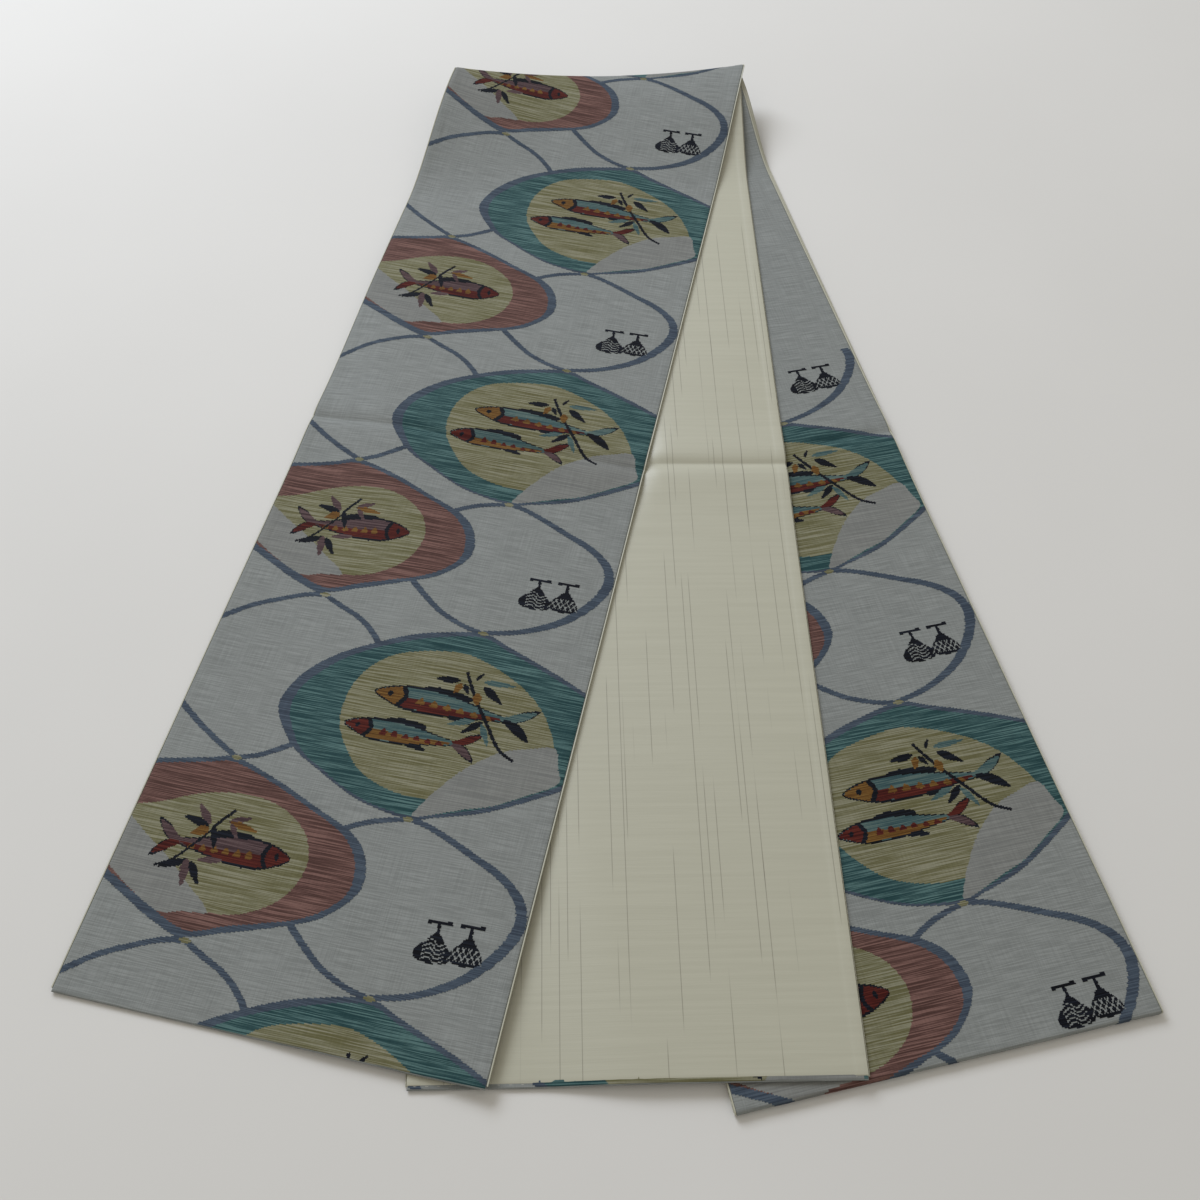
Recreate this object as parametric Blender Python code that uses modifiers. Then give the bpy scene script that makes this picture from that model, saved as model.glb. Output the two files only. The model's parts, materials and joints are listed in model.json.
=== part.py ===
# A folded double-width sash (fukuro obi): patterned face cloth, core and lining, laid out as a fan.
# The strip is folded in four: a base leaf on the table, a top leaf over it, a middle leaf with its
# lining up, and a left leaf with its face up.  Metres, +Z up, folded ends at +Y, free ends at -Y.
import math

import bmesh
import bpy
from mathutils import Vector

# the strip
OBI_WIDTH = 0.310
FACE_THICKNESS = 0.0006
CORE_THICKNESS = 0.0006
LINING_THICKNESS = 0.0004
LAYER_GAP = 0.0003        # between face cloth, core and lining
LEAF_GAP = 0.0006         # between one leaf and the next
FOLD_GAP = 0.0005         # between a leaf and the fold strip that it runs into
TURN_CLEARANCE = 0.001    # the middle leaf passes over the base leaf's end by twice this
CORE_MARGIN = 0.006       # the core stops this far inside every edge, to leave the seams free
THREAD_DIAMETER = 0.0005
SEAM_INSET = 0.003        # seam thread, from the strip's edge

# the fan: heading of each leaf, in degrees clockwise from +Y, and its length on the centre line
LEFT_HEADING = 9.84
LEFT_LENGTH = 1.078
BASE_HEADING = -15.13
BASE_LENGTH = 1.0899
MIDDLE_HEADING = -3.73
MIDDLE_LENGTH = 1.0559
FOLD_TWIST = -3.0         # the folds lie this far off the line of a flat, sharp fold, in degrees
INNER_FOLD_INSET = 0.026  # the inner fold's centre, in front of the outer fold's centre
INNER_FOLD_SHIFT = 0.0015

# the folded end stands clear of the table
RISE_AT_CENTRE = 0.020
RISE_AT_SIDES = 0.032
RISE_RUN = {"base": 0.13, "top": 0.14, "middle": 0.16, "left": 0.18}

# where a leaf comes down beside the one below it
EDGE_MARGIN = 0.050       # it stays level this far beyond the lower leaf's edge
SECOND_MARGIN = 0.130     # the same, over two leaves
DROP_RUN = 0.080          # and then comes down over this run

# mesh fineness
CELLS_ACROSS = 6          # besides the two narrow ones over the seams
CELLS_ALONG_DRAPED = 16
CELLS_ALONG_FLAT = 1
CELLS_IN_RISE = 12
CELLS_ROUND_FOLD = 5

FACE_COLOUR = (0.22, 0.26, 0.30)
CORE_COLOUR = (0.75, 0.72, 0.66)
LINING_COLOUR = (0.68, 0.60, 0.44)
THREAD_COLOUR = (0.55, 0.55, 0.52)

LAYER_THICKNESS = {"face": FACE_THICKNESS, "core": CORE_THICKNESS, "lining": LINING_THICKNESS}
NODE_WORD = {"face": "face_cloth", "core": "core", "lining": "lining"}
LEAF_THICKNESS = sum(LAYER_THICKNESS.values()) + 2 * LAYER_GAP
LEAF_PITCH = LEAF_THICKNESS + LEAF_GAP


def clear_scene():
    for old in list(bpy.data.objects):
        bpy.data.objects.remove(old, do_unlink=True)


def make_material(name, colour, roughness):
    material = bpy.data.materials.new(name)
    material.use_nodes = True
    shader = material.node_tree.nodes["Principled BSDF"]
    shader.inputs["Base Color"].default_value = (*colour, 1.0)
    shader.inputs["Roughness"].default_value = roughness
    return material


def along(heading):
    turn = math.radians(heading)
    return Vector((math.sin(turn), math.cos(turn)))


def across(heading):
    return along(heading + 90.0)


def smooth_step(amount):
    amount = min(1.0, max(0.0, amount))
    return amount * amount * (3.0 - 2.0 * amount)


class Leaf:
    """One length of the folded strip, from its front end to its end at the folds."""

    def __init__(self, name, fold_centre, heading, length, face_up):
        self.name = name
        self.heading = heading
        self.length = length
        self.front = fold_centre - along(heading) * length
        self.front_line = heading + 90.0
        self.fold_line = heading + 90.0
        self.order = ["lining", "core", "face"] if face_up else ["face", "core", "lining"]

    def plan(self, side, run):
        """side is the distance right of the centre line, run the distance from the front end"""
        return self.front + across(self.heading) * side + along(self.heading) * run

    def side_of(self, point):
        return (point - self.front).dot(across(self.heading))

    def ends(self, side, margin=0.0):
        """the run at the front end and at the fold, for a line at this side"""
        front = margin + side * math.tan(math.radians(self.heading + 90.0 - self.front_line))
        fold = self.length + side * math.tan(math.radians(self.heading + 90.0 - self.fold_line))
        return front, fold

    def layer_offset(self, layer):
        below = self.order[:self.order.index(layer)]
        return sum(LAYER_THICKNESS[word] + LAYER_GAP for word in below)


def lay_out_fan():
    """Places the four leaves round the outer fold's centre and gives both fold lines."""
    outer_centre = Vector((0.0, 0.0))
    inner_centre = Vector((INNER_FOLD_SHIFT, -INNER_FOLD_INSET))
    left = Leaf("left_leaf", outer_centre, LEFT_HEADING, LEFT_LENGTH, True)
    base = Leaf("base_leaf", outer_centre, BASE_HEADING, BASE_LENGTH, False)
    middle = Leaf("middle_leaf", inner_centre, MIDDLE_HEADING, MIDDLE_LENGTH, False)
    run = inner_centre - base.front
    top_heading = math.degrees(math.atan2(run.x, run.y))
    top = Leaf("top_leaf", inner_centre, top_heading, run.length, True)

    # a strip that turns over a flat fold leaves it at the mirrored heading; these soft folds twist a little
    left.fold_line = base.fold_line = (left.heading + base.heading + 180.0) / 2.0 + FOLD_TWIST
    middle.fold_line = top.fold_line = (middle.heading + top.heading + 180.0) / 2.0 + FOLD_TWIST
    base.front_line = top.front_line = (base.heading + top.heading) / 2.0 + 90.0
    return {"left": left, "middle": middle, "top": top, "base": base}


def rise(fan, key, point):
    """how far the folded end lifts this leaf off the table at a point of the plan"""
    line = fan["left"].fold_line
    station = point.dot(along(line))
    behind = point.dot(across(line))
    height = RISE_AT_CENTRE + (RISE_AT_SIDES - RISE_AT_CENTRE) * (station / (OBI_WIDTH / 2.0)) ** 2
    return height * smooth_step(1.0 - behind / RISE_RUN[key])


def level(fan, key, point):
    """the underside of a leaf, before the folded end's rise"""
    if key == "base":
        return 0.0
    if key == "top":
        return LEAF_PITCH
    beyond_base = fan["base"].side_of(point) + OBI_WIDTH / 2.0
    if key == "middle":
        return 2.0 * LEAF_PITCH * smooth_step((beyond_base + EDGE_MARGIN + DROP_RUN) / DROP_RUN)
    beyond_middle = fan["middle"].side_of(point) + OBI_WIDTH / 2.0
    over_both = smooth_step((beyond_base + SECOND_MARGIN + DROP_RUN) / DROP_RUN)
    over_middle = smooth_step((beyond_middle + EDGE_MARGIN + DROP_RUN) / DROP_RUN)
    return 2.0 * LEAF_PITCH * over_both + LEAF_PITCH * over_middle


def height_at(fan, key, point):
    return level(fan, key, point) + rise(fan, key, point)


def column_sides():
    """the lines of a leaf's mesh, as distances from its centre line"""
    inner = OBI_WIDTH / 2.0 - CORE_MARGIN
    lines = [inner * (2.0 * step / CELLS_ACROSS - 1.0) for step in range(CELLS_ACROSS + 1)]
    return [-OBI_WIDTH / 2.0] + lines + [OBI_WIDTH / 2.0]


def row_shares(leaf, key):
    """the rows of a leaf's mesh, as shares of its length: wide on the flat, close in the rise"""
    edge = CORE_MARGIN / leaf.length
    rise_start = 1.0 - (RISE_RUN[key] + INNER_FOLD_INSET) / leaf.length
    flat_cells = CELLS_ALONG_DRAPED if key in ("left", "middle") else CELLS_ALONG_FLAT
    flat = [edge + (rise_start - edge) * step / flat_cells for step in range(flat_cells)]
    rise_span = 1.0 - edge - rise_start
    close = [rise_start + rise_span * step / CELLS_IN_RISE for step in range(CELLS_IN_RISE + 1)]
    return [0.0] + flat + close + [1.0]


def add_solid(name, mesh, thickness, outward, material, collection, hinge):
    solid = bpy.data.objects.new(name, mesh)
    collection.objects.link(solid)
    solid.parent = hinge
    mesh.transform(hinge.matrix_world.inverted())
    mesh.materials.append(material)
    shell = solid.modifiers.new("thickness", "SOLIDIFY")
    shell.thickness = thickness
    shell.offset = outward
    return solid


def grid_mesh(name, columns, rows, place):
    """a flat grid, each corner moved to place(column number, row number)"""
    shape = bmesh.new()
    bmesh.ops.create_grid(shape, x_segments=columns, y_segments=rows, size=0.5)
    for corner in shape.verts:
        column = round((corner.co.x + 0.5) * columns)
        row = round((corner.co.y + 0.5) * rows)
        corner.co = place(column, row)
    mesh = bpy.data.meshes.new(name)
    shape.to_mesh(mesh)
    shape.free()
    return mesh


def build_leaf_layer(fan, key, layer, material, collection, hinge):
    leaf = fan[key]
    sides, shares = column_sides(), row_shares(leaf, key)
    if layer == "core":
        sides, shares = sides[1:-1], shares[1:-1]
    front_gap = FOLD_GAP if key in ("top", "base") else 0.0
    offset = leaf.layer_offset(layer)

    def place(column, row):
        front, fold = leaf.ends(sides[column], front_gap)
        run = front + (fold - FOLD_GAP - front) * shares[row]
        point = leaf.plan(sides[column], run)
        return Vector((point.x, point.y, height_at(fan, key, point) + offset))

    name = f"{leaf.name}_{NODE_WORD[layer]}"
    mesh = grid_mesh(name, len(sides) - 1, len(shares) - 1, place)
    return add_solid(name, mesh, LAYER_THICKNESS[layer], 1.0, material, collection, hinge)


def build_fold_layer(fan, name, lower_key, upper_key, at_front, layer, material, collection, hinge):
    """a strip of one layer, turned round between the lower leaf and the upper leaf"""
    lower, upper = fan[lower_key], fan[upper_key]
    line = lower.front_line if at_front else lower.fold_line
    centre = lower.front if at_front else lower.plan(0.0, lower.length)
    outward = across(line) if at_front else -across(line)
    stretch = 1.0 / math.cos(math.radians(lower.heading + 90.0 - line))
    sides = column_sides()
    if layer == "core":
        sides = sides[1:-1]

    def place(column, row):
        point = centre + along(line) * (sides[column] * stretch)
        low = height_at(fan, lower_key, point) + lower.layer_offset(layer) + LAYER_THICKNESS[layer]
        high = height_at(fan, upper_key, point) + upper.layer_offset(layer)
        turn = math.pi * row / CELLS_ROUND_FOLD
        spot = point + outward * ((high - low) / 2.0 * math.sin(turn))
        return Vector((spot.x, spot.y, (high + low) / 2.0 - (high - low) / 2.0 * math.cos(turn)))

    node = f"{name}_{NODE_WORD[layer]}"
    mesh = grid_mesh(node, len(sides) - 1, CELLS_ROUND_FOLD, place)
    if at_front:
        mesh.flip_normals()
    return add_solid(node, mesh, LAYER_THICKNESS[layer], -1.0, material, collection, hinge)


def channel_middle(fan, key, side, share):
    """the middle of the channel that the core leaves between face cloth and lining, over a seam"""
    leaf = fan[key]
    ends = leaf.ends(side)
    point = leaf.plan(side, ends[0] + (ends[1] - ends[0]) * share)
    lowest = leaf.order[0]
    channel = CORE_THICKNESS + 2.0 * LAYER_GAP
    height = height_at(fan, key, point) + LAYER_THICKNESS[lowest] + channel / 2.0
    return Vector((point.x, point.y, height))


def build_thread(name, points, material, collection, hinge):
    curve = bpy.data.curves.new(name, "CURVE")
    curve.dimensions = "3D"
    curve.bevel_depth = THREAD_DIAMETER / 2.0
    curve.bevel_resolution = 0
    curve.use_fill_caps = True
    spline = curve.splines.new("POLY")
    spline.points.add(len(points) - 1)
    for spot, point in zip(spline.points, points):
        spot.co = (*(point - hinge.location), 1.0)
    thread = bpy.data.objects.new(name, curve)
    collection.objects.link(thread)
    thread.parent = hinge
    curve.materials.append(material)
    return thread


def build_side_seam(fan, key, word, side, material, collection, hinge):
    leaf = fan[key]
    points = [channel_middle(fan, key, side, share) for share in row_shares(leaf, key)[1:-1]]
    return build_thread(f"{leaf.name}_{word}_seam", points, material, collection, hinge)


def build_end_seam(fan, key, material, collection, hinge):
    leaf = fan[key]
    share = SEAM_INSET / leaf.length
    points = [channel_middle(fan, key, side, share) for side in column_sides()[1:-1]]
    return build_thread(f"{leaf.name}_end_seam", points, material, collection, hinge)


def make_hinge(name, location, collection):
    hinge = bpy.data.objects.new(name, None)
    collection.objects.link(hinge)
    hinge.location = location
    bpy.context.view_layer.update()
    return hinge


def fold_heights(fan, key):
    """a leaf's underside along its fold line"""
    leaf = fan[key]
    centre = leaf.plan(0.0, leaf.length)
    stretch = 1.0 / math.cos(math.radians(leaf.heading + 90.0 - leaf.fold_line))
    points = [centre + along(leaf.fold_line) * side * stretch for side in column_sides()]
    return [height_at(fan, key, point) for point in points]


def outer_axis_height(fan):
    """the left leaf turns about the mean height of its fold's middle"""
    heights = fold_heights(fan, "base") + [low + LEAF_THICKNESS for low in fold_heights(fan, "left")]
    return sum(heights) / len(heights)


def inner_axis_height(fan):
    """the middle leaf turns about a higher line, and so comes down over the base leaf's end"""
    base_top = max(fold_heights(fan, "base")) + LEAF_THICKNESS
    middle_top = max(fold_heights(fan, "middle")) + LEAF_THICKNESS
    return (base_top + middle_top) / 2.0 + TURN_CLEARANCE


def centre_on_origin(frame):
    """moves the whole fan so that the origin is the middle of its box, on the table"""
    bpy.context.view_layer.update()
    depsgraph = bpy.context.evaluated_depsgraph_get()
    corners = []
    for solid in bpy.data.objects:
        if solid.type in ("MESH", "CURVE"):
            shape = solid.evaluated_get(depsgraph).to_mesh()
            corners += [solid.matrix_world @ corner.co for corner in shape.vertices]
    for axis in (0, 1):
        low = min(corner[axis] for corner in corners)
        high = max(corner[axis] for corner in corners)
        frame.location[axis] = -(low + high) / 2.0
    frame.location.z = -min(corner.z for corner in corners)


def build_obi():
    clear_scene()
    collection = bpy.data.collections.new("folded_obi")
    bpy.context.scene.collection.children.link(collection)
    materials = {
        "face": make_material("woven face cloth", FACE_COLOUR, 0.75),
        "core": make_material("cotton core", CORE_COLOUR, 0.95),
        "lining": make_material("silk lining", LINING_COLOUR, 0.6),
        "thread": make_material("silk thread", THREAD_COLOUR, 0.7),
    }
    fan = lay_out_fan()

    frame = make_hinge("obi_frame", (0.0, 0.0, 0.0), collection)
    outer_place = (0.0, 0.0, outer_axis_height(fan))
    outer_hinge = make_hinge("outer_fold_hinge", outer_place, collection)
    inner_place = (INNER_FOLD_SHIFT, -INNER_FOLD_INSET, inner_axis_height(fan))
    inner_hinge = make_hinge("inner_fold_hinge", inner_place, collection)
    outer_hinge.parent = inner_hinge.parent = frame
    hinges = {"left": outer_hinge, "middle": inner_hinge, "top": frame, "base": frame}

    seam_side = OBI_WIDTH / 2.0 - SEAM_INSET
    for key, hinge in hinges.items():
        for layer in LAYER_THICKNESS:
            build_leaf_layer(fan, key, layer, materials[layer], collection, hinge)
        build_side_seam(fan, key, "west", -seam_side, materials["thread"], collection, hinge)
        build_side_seam(fan, key, "east", seam_side, materials["thread"], collection, hinge)
    for key in ("left", "middle"):
        build_end_seam(fan, key, materials["thread"], collection, hinges[key])

    folds = [("outer_fold", "base", "left", False),
             ("inner_fold", "top", "middle", False),
             ("front_fold", "base", "top", True)]
    for name, lower, upper, at_front in folds:
        for layer in LAYER_THICKNESS:
            build_fold_layer(fan, name, lower, upper, at_front, layer, materials[layer], collection, frame)

    centre_on_origin(frame)


build_obi()
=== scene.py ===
# A double-width sash (fukuro obi), folded in four and laid out as a fan of three legs.
# Everything is in metres in the model's own frame: folds at +Y, free ends at -Y, +Z up.
import json
import math
import random

import bpy
from mathutils import Matrix, Vector, noise


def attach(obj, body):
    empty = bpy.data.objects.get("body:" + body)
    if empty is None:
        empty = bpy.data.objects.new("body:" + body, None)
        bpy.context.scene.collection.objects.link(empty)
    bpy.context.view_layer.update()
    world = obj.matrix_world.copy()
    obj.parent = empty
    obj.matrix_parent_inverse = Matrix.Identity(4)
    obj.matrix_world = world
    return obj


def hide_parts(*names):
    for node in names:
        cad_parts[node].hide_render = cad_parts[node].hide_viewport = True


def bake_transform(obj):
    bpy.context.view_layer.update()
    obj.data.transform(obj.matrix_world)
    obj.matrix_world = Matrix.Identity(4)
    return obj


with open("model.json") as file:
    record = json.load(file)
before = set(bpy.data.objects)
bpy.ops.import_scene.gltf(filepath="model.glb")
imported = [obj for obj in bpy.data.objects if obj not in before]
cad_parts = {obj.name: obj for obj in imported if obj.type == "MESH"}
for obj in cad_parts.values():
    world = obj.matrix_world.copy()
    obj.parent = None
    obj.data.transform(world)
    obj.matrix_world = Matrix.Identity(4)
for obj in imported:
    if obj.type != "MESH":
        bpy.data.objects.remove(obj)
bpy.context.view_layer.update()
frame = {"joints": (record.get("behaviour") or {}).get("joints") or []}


def jointPlace(name):
    joint = next(item for item in frame["joints"] if item["name"] == name)
    return Vector(joint["pos_m"])


strip = {
    "width": 0.310,
    "faceThick": 0.0006,
    "coreThick": 0.0006,
    "liningThick": 0.0004,
    "layerGap": 0.0003,
    "leafGap": 0.0006,
    "coreMargin": 0.006,     # the core stops short of the seams
    "edgeRoll": 0.0013,      # how far in the sewn edges are rounded
    "liningPeep": 0.0008,    # the lining shows this much past the face cloth
    "liningLip": 0.85,       # and stands up there by this share of the half thickness
    "liningRim": -0.34,      # where the lip's outermost line lies, on the same scale
    "turnedIn": 0.0050,      # at the closed ends the face cloth turns over onto the lining side
    "turnedLevel": -0.85,    # and lies there, where -1 is the lining's own surface
    "liningBack": 0.0026,    # and the lining is sewn down this far back from the end
    "liningEase": 0.02,      # its mesh lines crowd together over this length
    "allowance": 0.0100,     # the turned-in seam allowance ends here, and prints through
    "allowanceStep": 0.00018,
    "allowanceSlope": 0.002,
}

# spacing of the mesh lines, and where the close ones lie
grid = {
    "acrossCell": 0.0078,
    "coreCell": 0.012,
    "lengthCell": 0.0060,
    "riseCell": 0.0040,      # where the folded end lifts off the table
    "riseMargin": 0.04,
    "creaseCell": 0.0012,
    "creaseReach": 0.018,
    "sideLines": (0.0, 0.00015, 0.0004, 0.0008, strip["edgeRoll"],
                  0.004, 0.008, 0.009, 0.010, 0.012),
    "endLines": (0.00012, 0.0004, 0.0008, strip["edgeRoll"]),
    "turnedLines": (0.0022, 0.0035, strip["turnedIn"]),
    "endGap": 0.003,         # from the last close line to the next
    "squareFrom": 0.12,      # the cross lines are square to the leaf from here
    "squareUntil": 0.22,     # to this far before its folded end
    "loopRows": 12,
}

# heading: degrees clockwise from +Y.  crease: the groove that storage left across the leaf
# under: the leaf that lies on it and keeps its crease flat, and how far from that leaf's edge
# the crease begins to show and is full.  The top leaf's heading and length follow from the rest
fan = {
    "left": {"heading": 9.84, "length": 1.078, "faceUp": True, "rise": 0.18, "under": None,
             "creaseAt": 0.545, "creaseHigh": 0.0022, "creaseWide": 0.014},
    "middle": {"heading": -3.73, "length": 1.0559, "faceUp": False, "rise": 0.16,
               "under": ("left", -0.004, 0.016),
               "creaseAt": 0.537, "creaseHigh": 0.0027, "creaseWide": 0.014},
    "top": {"heading": 0.0, "length": 0.0, "faceUp": True, "rise": 0.14,
            "under": ("middle", 0.0, 0.030),
            "creaseAt": 0.545, "creaseHigh": 0.0018, "creaseWide": 0.013},
    "base": {"heading": -15.13, "length": 1.0899, "faceUp": False, "rise": 0.13, "under": None,
             "creaseAt": 0.545, "creaseHigh": 0.0, "creaseWide": 0.007},
}

drape = {
    "centreRise": 0.020,     # the folded end stands this far off the table
    "sideRise": 0.032,
    "foldTwist": -3.0,       # degrees that the soft folds lie off the line of a sharp one
    "edgeMargin": 0.050,     # a leaf stays level this far beyond the edge of the one below
    "secondMargin": 0.130,
    "dropRun": 0.080,
    "swell": 0.0007,         # slow waves in the cloth
    "swellSize": 0.16,
    "swellSeed": 3.7,
    "creaseRound": 0.0010,   # how round the bottom of a crease is
    "creaseFade": 0.08,
}

halfWidth = strip["width"] / 2.0
leafThick = (strip["faceThick"] + strip["coreThick"] + strip["liningThick"]
             + 2.0 * strip["layerGap"])
leafPitch = leafThick + strip["leafGap"]

# each layer: its outer surface, measured from the leaf's middle towards the face side
layers = {
    "face_cloth": {"offset": leafThick / 2.0, "thick": strip["faceThick"], "inward": -1.0},
    "core": {"offset": -leafThick / 2.0 + strip["liningThick"] + strip["layerGap"]
             + strip["coreThick"], "thick": strip["coreThick"], "inward": -1.0},
    "lining": {"offset": -leafThick / 2.0, "thick": strip["liningThick"], "inward": 1.0},
}


def alongDir(heading):
    turn = math.radians(heading)
    return Vector((math.sin(turn), math.cos(turn)))


def acrossDir(heading):
    return alongDir(heading + 90.0)


def smoothStep(amount):
    amount = min(1.0, max(0.0, amount))
    return amount * amount * (3.0 - 2.0 * amount)


outerFold = jointPlace("left_leaf_turn").xy
innerFold = jointPlace("middle_leaf_turn").xy


def layOutFan():
    for key, centre in (("left", outerFold), ("base", outerFold), ("middle", innerFold)):
        leaf = fan[key]
        leaf["front"] = centre - alongDir(leaf["heading"]) * leaf["length"]
    top = fan["top"]
    top["front"] = fan["base"]["front"]
    run = innerFold - top["front"]
    top["length"] = run.length
    top["heading"] = math.degrees(math.atan2(run.x, run.y))
    for leaf in fan.values():
        leaf["frontLine"] = leaf["heading"] + 90.0
    for one, other in (("left", "base"), ("middle", "top")):
        line = (fan[one]["heading"] + fan[other]["heading"] + 180.0) / 2.0 + drape["foldTwist"]
        fan[one]["foldLine"] = fan[other]["foldLine"] = line
    line = (fan["base"]["heading"] + top["heading"]) / 2.0 + 90.0
    fan["base"]["frontLine"] = top["frontLine"] = line


layOutFan()


def planPoint(leaf, side, run):
    heading = leaf["heading"]
    return leaf["front"] + acrossDir(heading) * side + alongDir(heading) * run


def sideOf(leaf, point):
    return (point - leaf["front"]).dot(acrossDir(leaf["heading"]))


def runOf(leaf, point):
    return (point - leaf["front"]).dot(alongDir(leaf["heading"]))


def frontRun(leaf, side):
    return side * math.tan(math.radians(leaf["heading"] + 90.0 - leaf["frontLine"]))


def foldRun(leaf, side):
    return leaf["length"] + side * math.tan(math.radians(leaf["heading"] + 90.0 - leaf["foldLine"]))


def riseAt(key, point):
    line = fan["left"]["foldLine"]
    station = (point - outerFold).dot(alongDir(line))
    behind = (point - outerFold).dot(acrossDir(line))
    high = (drape["centreRise"]
            + (drape["sideRise"] - drape["centreRise"]) * (station / halfWidth) ** 2)
    return high * smoothStep(1.0 - behind / fan[key]["rise"])


def levelAt(key, point):
    if key == "base":
        return 0.0
    if key == "top":
        return leafPitch
    run = drape["dropRun"]
    beyondBase = sideOf(fan["base"], point) + halfWidth
    if key == "middle":
        return 2.0 * leafPitch * smoothStep((beyondBase + drape["edgeMargin"] + run) / run)
    beyondMiddle = sideOf(fan["middle"], point) + halfWidth
    overBoth = smoothStep((beyondBase + drape["secondMargin"] + run) / run)
    overMiddle = smoothStep((beyondMiddle + drape["edgeMargin"] + run) / run)
    return 2.0 * leafPitch * overBoth + leafPitch * overMiddle


def creaseAt(key, point):
    # the fold line stays down and the cloth stands up on both sides of it, unless another
    # leaf lies on it
    leaf = fan[key]
    distance = runOf(leaf, point) - leaf["creaseAt"]
    if leaf["creaseHigh"] == 0.0 or abs(distance) > drape["creaseFade"]:
        return 0.0
    bare = 1.0
    if leaf["under"]:
        cover, begin, ramp = leaf["under"]
        bare = smoothStep((sideOf(fan[cover], point) - halfWidth - begin) / ramp)
    bottom = drape["creaseRound"]
    away = (math.hypot(distance, bottom) - bottom) / leaf["creaseWide"]
    return leaf["creaseHigh"] * bare * away * math.exp(1.0 - away)


def swellAt(point):
    # every leaf has the same slow waves, so none cuts into the next
    spot = Vector((point.x / drape["swellSize"], point.y / drape["swellSize"], drape["swellSeed"]))
    return drape["swell"] * (noise.noise(spot) + 0.6)


def heightAt(key, point):
    return levelAt(key, point) + riseAt(key, point) + creaseAt(key, point) + swellAt(point)


def leafSpot(key, side, run):
    point = planPoint(fan[key], side, run)
    spot = Vector((point.x, point.y, heightAt(key, point) + leafThick / 2.0))
    return spot, Vector((0.0, 0.0, 1.0 if fan[key]["faceUp"] else -1.0))


# each fold joins a lower leaf to an upper one
folds = {
    "outer": {"lower": "base", "upper": "left", "atFront": False, "faceOut": 1.0},
    "inner": {"lower": "top", "upper": "middle", "atFront": False, "faceOut": -1.0},
    "front": {"lower": "base", "upper": "top", "atFront": True, "faceOut": 1.0},
}


def foldSpot(name, side, share):
    # share 0 is at the lower leaf and 1 at the upper leaf
    fold = folds[name]
    lower = fan[fold["lower"]]
    upper = fan[fold["upper"]]
    endRun = frontRun if fold["atFront"] else foldRun
    point = planPoint(lower, side, endRun(lower, side)).lerp(
        planPoint(upper, side, endRun(upper, side)), share)
    line = lower["frontLine"] if fold["atFront"] else lower["foldLine"]
    outward = acrossDir(line) if fold["atFront"] else -acrossDir(line)
    low = heightAt(fold["lower"], point)
    high = heightAt(fold["upper"], point)
    turn = math.pi * share
    radial = Vector((outward.x * math.sin(turn), outward.y * math.sin(turn), -math.cos(turn)))
    centre = Vector((point.x, point.y, (low + high) / 2.0 + leafThick / 2.0))
    return centre + radial * (high - low) / 2.0, radial * fold["faceOut"]


# The pattern runs along the strip in one coordinate, reach: left leaf, outer fold, base
# leaf, front fold, top leaf.  The middle leaf's patterned end is counted from its own end.
pattern = {
    "repeat": 0.303,
    "row": 0.001,            # real picks are about 0.4 mm; drawn coarser so that the steps show
    "column": 0.00075,
    "ragged": 0.4,           # mm, how far a row's ends wander
    "topStart": 2.195,       # reach at the top leaf's front end
    "topPlain": 2.850,       # the part that goes round the body is left plain
    "middleEnd": 0.228,      # the reach at the middle leaf's end, in its own count
    "middlePatterned": 0.42,
    "outerArc": 0.014,
    "frontArc": 0.005,
    "innerArc": 0.005,
    "lift": 0.00016,         # the pattern wefts lie this proud of the ground
    "rim": 0.0004,           # and stop this far short of the strip's edges
    "foldSplits": 120,       # a row crosses a fold at a slant, so it is split finely there
    "leafSplits": 24,
    "edgeSplits": (strip["edgeRoll"], 0.004, 0.008, 0.010, 0.012),
    "sliver": 0.00001,       # runs shorter than this are left out
}


def leftRange(side):
    return -strip["turnedIn"], foldRun(fan["left"], side)


def outerRange(side):
    start = foldRun(fan["left"], side)
    return start, start + pattern["outerArc"]


def baseRange(side):
    return outerRange(side)[1], frontRange(side)[0]


def frontRange(side):
    end = pattern["topStart"] + frontRun(fan["top"], side)
    return end - pattern["frontArc"], end


def topRange(side):
    return frontRange(side)[1], pattern["topStart"] + foldRun(fan["top"], side)


def middleRange(side):
    return (pattern["middleEnd"] - foldRun(fan["middle"], side),
            pattern["middleEnd"] + strip["turnedIn"])


def leftPlace(side, reach):
    return leafSpot("left", side, abs(reach))


def outerPlace(side, reach):
    return foldSpot("outer", side, 1.0 - (reach - outerRange(side)[0]) / pattern["outerArc"])


def baseShare(side):
    start, end = baseRange(side)
    base = fan["base"]
    return (end - start) / (foldRun(base, side) - frontRun(base, side))


def basePlace(side, reach):
    run = foldRun(fan["base"], side) - (reach - baseRange(side)[0]) / baseShare(side)
    return leafSpot("base", side, run)


def frontPlace(side, reach):
    return foldSpot("front", side, (reach - frontRange(side)[0]) / pattern["frontArc"])


def topPlace(side, reach):
    return leafSpot("top", side, reach - pattern["topStart"])


def middlePlace(side, reach):
    return leafSpot("middle", side, abs(pattern["middleEnd"] - reach))


spans = {
    "left": {"range": leftRange, "place": leftPlace},
    "outer": {"range": outerRange, "place": outerPlace},
    "base": {"range": baseRange, "place": basePlace},
    "front": {"range": frontRange, "place": frontPlace},
    "top": {"range": topRange, "place": topPlace},
    "middle": {"range": middleRange, "place": middlePlace},
}


def reachOf(span, side, run):
    if span == "left":
        return run
    if span == "base":
        return baseRange(side)[0] + (foldRun(fan["base"], side) - run) * baseShare(side)
    if span == "top":
        return pattern["topStart"] + run
    return pattern["middleEnd"] - run


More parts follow.
